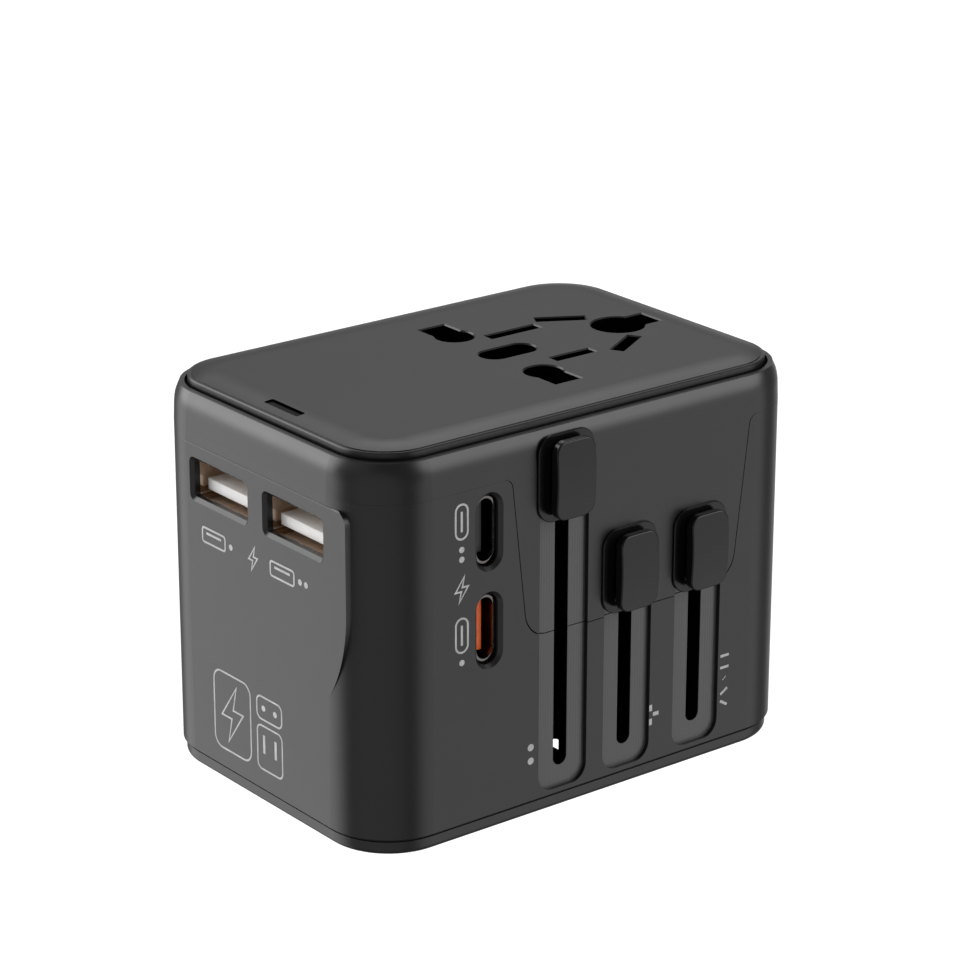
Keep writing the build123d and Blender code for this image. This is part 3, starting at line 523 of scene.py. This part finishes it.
class Print:
    """A thin printed mark, drawn in millimetres on one face of the case."""

    def __init__(self, name, origin, across, up, normal, lift):
        self.name, self.lift = name, lift
        self.origin, self.across = Vector(origin), Vector(across)
        self.up, self.normal = Vector(up), Vector(normal)
        self.verts, self.faces = [], []

    def quad(self, corners):
        start = len(self.verts)
        self.verts += corners
        self.faces.append(tuple(range(start, start + len(corners))))

    def line(self, a, b, width):
        a, b = Vector(a), Vector(b)
        side = (b - a).normalized().orthogonal() * width / 2
        ahead = (b - a).normalized() * width / 2
        self.quad([a - ahead - side, b + ahead - side, b + ahead + side, a - ahead + side])

    def path(self, points, width, closed=True):
        """A stroke of even width with mitred corners."""
        points = [Vector(p) for p in points]
        count = len(points)
        inner, outer = [], []
        for i, p in enumerate(points):
            before = points[i - 1] if closed or i else 2 * p - points[i + 1]
            after = points[(i + 1) % count] if closed or i < count - 1 else 2 * p - points[i - 1]
            n1 = (p - before).normalized().orthogonal()
            n2 = (after - p).normalized().orthogonal()
            mitre = (n1 + n2).normalized()
            reach = width / 2 / max(mitre.dot(n1), 0.35)
            inner.append(p - mitre * reach)
            outer.append(p + mitre * reach)
        for i in range(count if closed else count - 1):
            k = (i + 1) % count
            self.quad([inner[i], inner[k], outer[k], outer[i]])

    def dot(self, centre, radius, sides=20):
        centre = Vector(centre)
        turns = [2 * math.pi * i / sides for i in range(sides)]
        self.quad([centre + Vector((math.cos(t), math.sin(t))) * radius for t in turns])

    def slab(self, centre, wide, high, turn=0.0):
        spin = Matrix.Rotation(math.radians(turn), 2)
        corners = [(-wide, -high), (wide, -high), (wide, high), (-wide, high)]
        self.quad([Vector(centre) + spin @ (Vector(c) / 2) for c in corners])

    def pill(self, centre, wide, high, radius, width):
        """The outline of a rounded rectangle."""
        points = []
        for sx, sy, start in ((1, 1, 0), (-1, 1, 90), (-1, -1, 180), (1, -1, 270)):
            for step in range(7):
                t = math.radians(start + 15 * step)
                x = centre[0] + sx * (wide / 2 - radius) + radius * math.cos(t)
                y = centre[1] + sy * (high / 2 - radius) + radius * math.sin(t)
                points.append((x, y))
        self.path(points, width)

    def make(self, mat):
        verts = []
        for v in self.verts:
            verts.append((self.origin + self.across * v.x + self.up * v.y + self.normal * self.lift) * MM)
        mesh = bpy.data.meshes.new(self.name)
        mesh.from_pydata([tuple(v) for v in verts], [], self.faces)
        for polygon in mesh.polygons:
            if polygon.normal.dot(self.normal) < 0:
                polygon.flip()
        mesh.materials.append(mat)
        piece = bpy.data.objects.new(self.name, mesh)
        bpy.context.collection.objects.link(piece)
        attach(piece, "housing")


ink = Finish("mark_ink", (0.50, 0.50, 0.50), 0.5).vary_rough(0.06, 500.0)
ink.vary_color(0.14, 700.0).grain(5200.0, 0.008, 0.3)

shell_low, shell_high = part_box("lower_shell")
front_y, left_x = shell_low.y / MM, shell_low.x / MM


def on_front(name, x, z):
    """A mark on the slider face; u runs right, v runs up."""
    return Print(name, (x, front_y, z), (1, 0, 0), (0, 0, 1), (0, -1, 0), 0.012)


def on_left(name, y, z):
    """A mark on the face with the two wide ports; u runs right as seen from outside, v runs up."""
    return Print(name, (left_x, y, z), (0, -1, 0), (0, 0, 1), (-1, 0, 0), 0.010)


def plug_sign(mark, centre, count, tall):
    """A round-ended port outline with one tongue line, then one or two counting dots."""
    x, z = centre
    if tall:
        mark.pill((x, z), 1.9, 4.6, 0.94, STROKE)
        mark.slab((x, z), TONGUE, 2.7)
        for i in range(count):
            mark.dot((x, z - 3.7 - 1.3 * i), COUNT_DOT)
    else:
        mark.pill((x, z), 5.2, 2.0, 0.4, STROKE)
        mark.slab((x, z + 0.3), 3.4, TONGUE)
        for i in range(count):
            mark.dot((x + 3.9 + 1.3 * i, z), COUNT_DOT)


def spark(mark, centre, size, width):
    """A plain charging bolt in outline."""
    x, z = centre
    shape = [(0.12, 0.5), (-0.30, -0.08), (-0.02, -0.08), (-0.12, -0.5), (0.30, 0.08), (0.02, 0.08)]
    mark.path([(x + px * size, z + pz * size) for px, pz in shape], width)


def make_marks():
    mark = on_front("mark_ports_front", -22.1, 0.0)
    plug_sign(mark, (0.0, 43.6), 2, True)
    spark(mark, (0.0, 34.6), 3.4, THIN)
    plug_sign(mark, (0.0, 28.4), 1, True)
    mark.make(ink.mat)

    mark = on_left("mark_ports_left", 1.25, 34.0)
    plug_sign(mark, (-9.6, 0.2), 1, False)
    spark(mark, (-0.65, 0.2), 3.3, THIN)
    plug_sign(mark, (5.8, 0.2), 2, False)
    mark.make(ink.mat)

    mark = on_front("mark_round_pins", -10.9, 9.0)
    mark.dot((0.0, 0.95), 0.5)
    mark.dot((0.0, -0.95), 0.5)
    mark.make(ink.mat)

    mark = on_front("mark_square_pins", 10.0, 9.0)
    mark.slab((0.35, 0.0), 1.0, 0.55)
    mark.slab((-0.55, 1.0), 0.5, 0.9)
    mark.slab((-0.55, -1.0), 0.5, 0.9)
    mark.make(ink.mat)

    mark = on_front("mark_flat_blades", 22.4, 10.9)
    mark.slab((0.0, 3.3), 1.5, 0.38)
    mark.slab((0.0, 1.6), 1.5, 0.38)
    mark.line((-0.25, -0.2), (0.25, 0.2), 0.12)
    mark.slab((0.0, -1.9), 1.4, 0.38, 32)
    mark.slab((0.0, -3.6), 1.4, 0.38, -32)
    mark.make(ink.mat)

    mark = on_left("mark_charge_sign", 3.6, 10.5)
    mark.pill((-3.9, 0.0), 8.4, 11.0, 1.6, FRAME_STROKE)
    spark(mark, (-3.9, 0.0), 8.2, FRAME_STROKE)
    mark.pill((4.6, 3.4), 5.6, 3.2, 0.9, FRAME_STROKE)
    mark.dot((3.3, 3.4), COUNT_DOT)
    mark.dot((5.9, 3.4), COUNT_DOT)
    mark.pill((4.6, -2.2), 5.6, 6.2, 0.9, FRAME_STROKE)
    mark.slab((3.3, -1.7), 0.5, 2.6)
    mark.slab((5.9, -1.7), 0.5, 2.6)
    mark.make(ink.mat)


make_marks()
